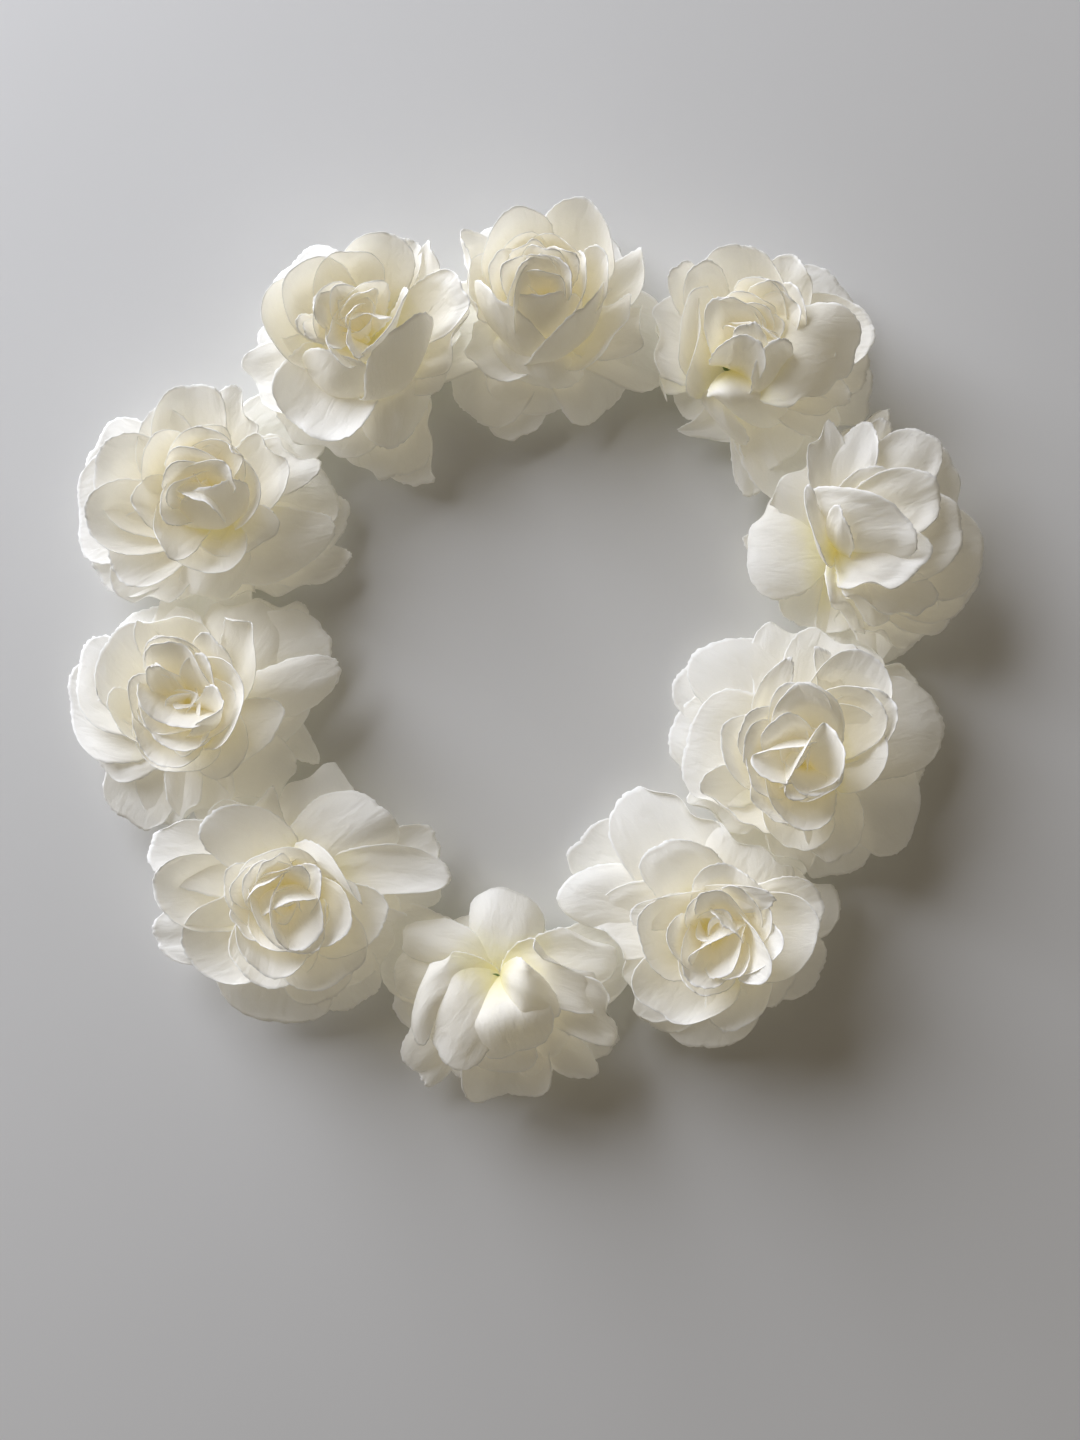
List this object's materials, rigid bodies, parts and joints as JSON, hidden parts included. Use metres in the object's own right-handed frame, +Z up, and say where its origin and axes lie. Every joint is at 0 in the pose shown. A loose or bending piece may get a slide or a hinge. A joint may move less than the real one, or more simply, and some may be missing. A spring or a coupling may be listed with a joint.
{
  "type": "flower crown",
  "caption": "Closed hoop of taped wire carrying a ring of layered fabric roses, each on a short stem that rolls about the hoop; worn on the head or laid flat.",
  "frame": {"origin": "on the table plane under the middle of the crown's outline, with the crown lying flat", "axes": "+Z up out of the table, roses facing up; +Y towards the rose at the top of the ring; +X to its right"},
  "size_m": [0.2522, 0.2516, 0.0451],
  "materials": {
    "iron_wire": "annealed iron wire, dull grey, inside the tape",
    "floral_tape": "waxed crepe floral tape, matt dark green, wound on in overlapping turns",
    "green_stem": "moulded green polyethylene, slightly waxy",
    "guard_fabric": "cream polyester satin, stiffened, faint cool white highlight",
    "outer_fabric": "cream polyester satin, stiffened",
    "inner_fabric": "cream polyester satin, yellower towards the base",
    "centre_fabric": "cream polyester satin rolled tight, greenish yellow in the folds"
  },
  "bodies": {
    "hoop": {"hoop_wire": "iron_wire", "hoop_tape": "floral_tape"},
    "rose_01": {"rose_01_stem": "green_stem", "rose_01_guard_petals": "guard_fabric", "rose_01_outer_petals": "outer_fabric", "rose_01_inner_petals": "inner_fabric", "rose_01_centre": "centre_fabric"},
    "rose_02": {"rose_02_stem": "green_stem", "rose_02_guard_petals": "guard_fabric", "rose_02_outer_petals": "outer_fabric", "rose_02_inner_petals": "inner_fabric", "rose_02_centre": "centre_fabric"},
    "rose_03": {"rose_03_stem": "green_stem", "rose_03_guard_petals": "guard_fabric", "rose_03_outer_petals": "outer_fabric", "rose_03_inner_petals": "inner_fabric", "rose_03_centre": "centre_fabric"},
    "rose_04": {"rose_04_stem": "green_stem", "rose_04_guard_petals": "guard_fabric", "rose_04_outer_petals": "outer_fabric", "rose_04_inner_petals": "inner_fabric", "rose_04_centre": "centre_fabric"},
    "rose_05": {"rose_05_stem": "green_stem", "rose_05_guard_petals": "guard_fabric", "rose_05_outer_petals": "outer_fabric", "rose_05_inner_petals": "inner_fabric", "rose_05_centre": "centre_fabric"},
    "rose_06": {"rose_06_stem": "green_stem", "rose_06_guard_petals": "guard_fabric", "rose_06_outer_petals": "outer_fabric", "rose_06_inner_petals": "inner_fabric", "rose_06_centre": "centre_fabric"},
    "rose_07": {"rose_07_stem": "green_stem", "rose_07_guard_petals": "guard_fabric", "rose_07_outer_petals": "outer_fabric", "rose_07_inner_petals": "inner_fabric", "rose_07_centre": "centre_fabric"},
    "rose_08": {"rose_08_stem": "green_stem", "rose_08_guard_petals": "guard_fabric", "rose_08_outer_petals": "outer_fabric", "rose_08_inner_petals": "inner_fabric", "rose_08_centre": "centre_fabric"},
    "rose_09": {"rose_09_stem": "green_stem", "rose_09_guard_petals": "guard_fabric", "rose_09_outer_petals": "outer_fabric", "rose_09_inner_petals": "inner_fabric", "rose_09_centre": "centre_fabric"},
    "rose_10": {"rose_10_stem": "green_stem", "rose_10_guard_petals": "guard_fabric", "rose_10_outer_petals": "outer_fabric", "rose_10_inner_petals": "inner_fabric", "rose_10_centre": "centre_fabric"}
  },
  "joints": [
    {"name": "rose_01_roll", "type": "hinge", "parent": "hoop", "child": "rose_01", "pos_m": [-0.04019, 0.08173, 0.00203], "axis": [-0.8829, -0.4695, 0], "range_deg": [-8, 12]},
    {"name": "rose_02_roll", "type": "hinge", "parent": "hoop", "child": "rose_02", "pos_m": [0.00621, 0.09244, 0.00203], "axis": [-0.9994, 0.0349, 0], "range_deg": [-8, 10]},
    {"name": "rose_03_roll", "type": "hinge", "parent": "hoop", "child": "rose_03", "pos_m": [0.05837, 0.07397, 0.00203], "axis": [-0.7986, 0.6018, 0], "range_deg": [-12, 4]},
    {"name": "rose_04_roll", "type": "hinge", "parent": "hoop", "child": "rose_04", "pos_m": [0.09098, 0.0274, 0.00203], "axis": [-0.2924, 0.9563, 0], "range_deg": [-25, 0]},
    {"name": "rose_05_roll", "type": "hinge", "parent": "hoop", "child": "rose_05", "pos_m": [0.08705, -0.03692, 0.00203], "axis": [0.4067, 0.9135, 0], "range_deg": [-5, 12]},
    {"name": "rose_06_roll", "type": "hinge", "parent": "hoop", "child": "rose_06", "pos_m": [0.05311, -0.07666, 0.00203], "axis": [0.8387, 0.5446, 0], "range_deg": [-8, 12]},
    {"name": "rose_07_roll", "type": "hinge", "parent": "hoop", "child": "rose_07", "pos_m": [-0.00342, -0.09128, 0.00203], "axis": [0.9976, -0.0698, 0], "range_deg": [-25, 0]},
    {"name": "rose_08_roll", "type": "hinge", "parent": "hoop", "child": "rose_08", "pos_m": [-0.05974, -0.06678, 0.00203], "axis": [0.7314, -0.682, 0], "range_deg": [-8, 12]},
    {"name": "rose_09_roll", "type": "hinge", "parent": "hoop", "child": "rose_09", "pos_m": [-0.08731, -0.01705, 0.00203], "axis": [0.1908, -0.9816, 0], "range_deg": [-8, 12]},
    {"name": "rose_10_roll", "type": "hinge", "parent": "hoop", "child": "rose_10", "pos_m": [-0.08105, 0.03792, 0.00203], "axis": [-0.4067, -0.9135, 0], "range_deg": [-8, 12]}
  ]
}
